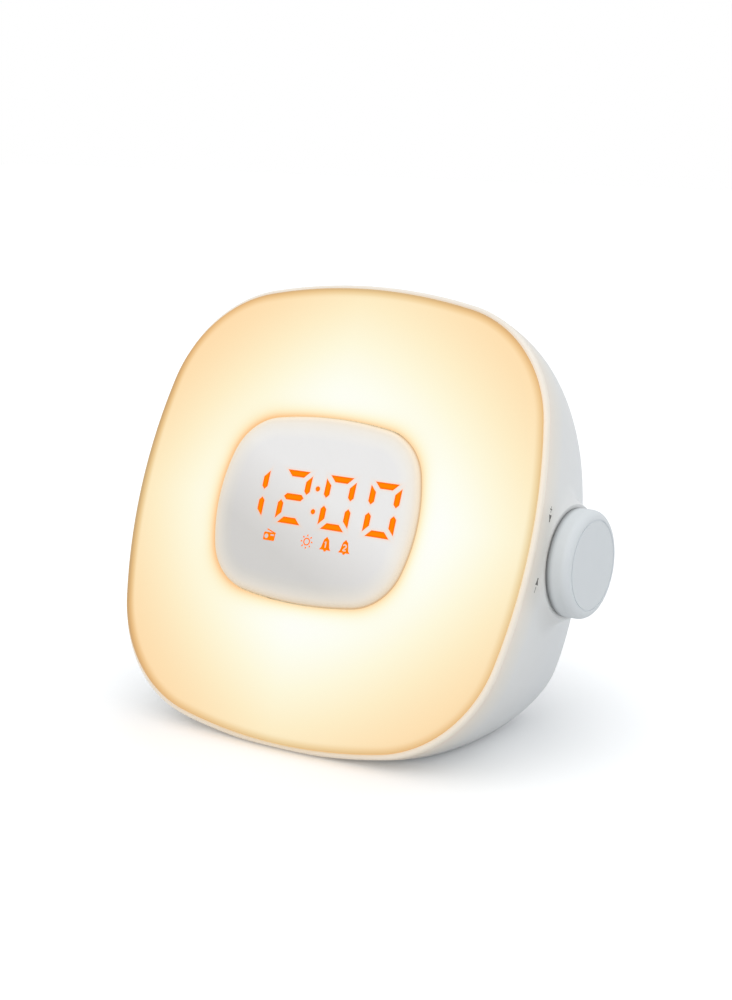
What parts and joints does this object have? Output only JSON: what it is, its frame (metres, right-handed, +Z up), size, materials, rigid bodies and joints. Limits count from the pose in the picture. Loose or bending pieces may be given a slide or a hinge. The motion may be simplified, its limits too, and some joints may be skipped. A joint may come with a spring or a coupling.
{
  "type": "sunrise alarm clock",
  "caption": "Bedside sunrise alarm clock: soft-square glowing face that leans back, pebble-shaped orange digit display, bowl-like white housing and a side volume knob.",
  "frame": {"origin": "on the table under the middle of the base, in the plane of symmetry of the housing", "axes": "+Z up, the face looks towards -Y and leans back by 22 degrees, the volume knob points along +X"},
  "size_m": [0.1842, 0.1207, 0.165],
  "materials": {
    "white_shell": "fine satin moulded ABS, slightly cool white",
    "rim_shell": "fine satin moulded ABS, lit warm by the lamp",
    "diffuser": "opal diffuser, glowing warm white",
    "lens": "translucent pale grey acrylic, satin",
    "orange_light": "lit orange window",
    "knob_shell": "soft-touch pale grey",
    "key_shell": "satin pale grey",
    "black_plastic": "moulded black",
    "white_plastic": "matt white inside moulding",
    "door_shell": "satin moulded ABS",
    "circuit_board": "green glass-epoxy with solder mask",
    "white_board": "white-masked aluminium board",
    "led": "phosphor-filled LED package",
    "chips": "black epoxy packages",
    "flat_cable": "white flat cable",
    "steel": "zinc-plated",
    "pin_metal": "plated",
    "plunger": "black",
    "paper_cone": "pressed paper",
    "surround": "rubber roll",
    "foam": "foam gasket",
    "ferrite": "ferrite magnet with plated pot",
    "feet_rubber": "pale grey rubber"
  },
  "bodies": {
    "clock_body": {"rear_housing": "white_shell", "front_bezel": "rim_shell", "diffuser_panel": "diffuser", "display_lens": "lens", "digit_segments": "orange_light", "colon_dots": "orange_light", "status_icons": "orange_light", "display_module": "black_plastic", "display_board": "circuit_board", "display_shroud": "white_plastic", "display_ribbon": "flat_cable", "light_reflector": "white_plastic", "light_board": "white_board", "warm_leds": "led", "main_board": "circuit_board", "board_components": "chips", "volume_encoder": "black_plastic", "encoder_nut": "steel", "key_switches": "black_plastic", "key_board": "circuit_board", "speaker_basket": "steel", "speaker_cone": "paper_cone", "speaker_surround": "surround", "speaker_magnet": "ferrite", "speaker_gasket": "foam", "power_socket": "black_plastic", "socket_pin": "pin_metal", "battery_cup": "white_plastic", "backup_cell": "steel", "cell_contact": "steel", "foot_ring": "feet_rubber", "housing_screws": "steel", "board_screws": "steel", "reflector_screws": "steel", "key_board_screws": "steel", "speaker_screws": "steel"},
    "volume_knob": {"volume_knob": "knob_shell", "encoder_shaft": "steel"},
    "snooze_key": {"snooze_key": "key_shell", "snooze_plunger": "plunger"},
    "alarm_one_key": {"alarm_one_key": "key_shell", "alarm_one_plunger": "plunger"},
    "alarm_two_key": {"alarm_two_key": "key_shell", "alarm_two_plunger": "plunger"},
    "light_key": {"light_key": "key_shell", "light_plunger": "plunger"},
    "radio_key": {"radio_key": "key_shell", "radio_plunger": "plunger"},
    "battery_door": {"battery_door": "door_shell"}
  },
  "joints": [
    {"name": "volume_turn", "type": "hinge", "parent": "clock_body", "child": "volume_knob", "pos_m": [0.0868, 0.01995, 0.06989], "axis": [1, 0, 0], "continuous": true},
    {"name": "snooze_press", "type": "slide", "parent": "clock_body", "child": "snooze_key", "axis": [0, -0.3746, -0.9272], "range_m": [0, 0.0006], "stiffness_N_per_m": 400, "springref_m": -0.0005},
    {"name": "alarm_one_press", "type": "slide", "parent": "clock_body", "child": "alarm_one_key", "axis": [0, -0.3746, -0.9272], "range_m": [0, 0.0006], "stiffness_N_per_m": 400, "springref_m": -0.0005},
    {"name": "alarm_two_press", "type": "slide", "parent": "clock_body", "child": "alarm_two_key", "axis": [0, -0.3746, -0.9272], "range_m": [0, 0.0006], "stiffness_N_per_m": 400, "springref_m": -0.0005},
    {"name": "light_press", "type": "slide", "parent": "clock_body", "child": "light_key", "axis": [0, -0.3746, -0.9272], "range_m": [0, 0.0006], "stiffness_N_per_m": 400, "springref_m": -0.0005},
    {"name": "radio_press", "type": "slide", "parent": "clock_body", "child": "radio_key", "axis": [0, -0.3746, -0.9272], "range_m": [0, 0.0006], "stiffness_N_per_m": 400, "springref_m": -0.0005},
    {"name": "battery_door_turn", "type": "hinge", "parent": "clock_body", "child": "battery_door", "pos_m": [0, 0.004, 0.003], "axis": [0, 0, 1], "range_deg": [0, 45]}
  ]
}
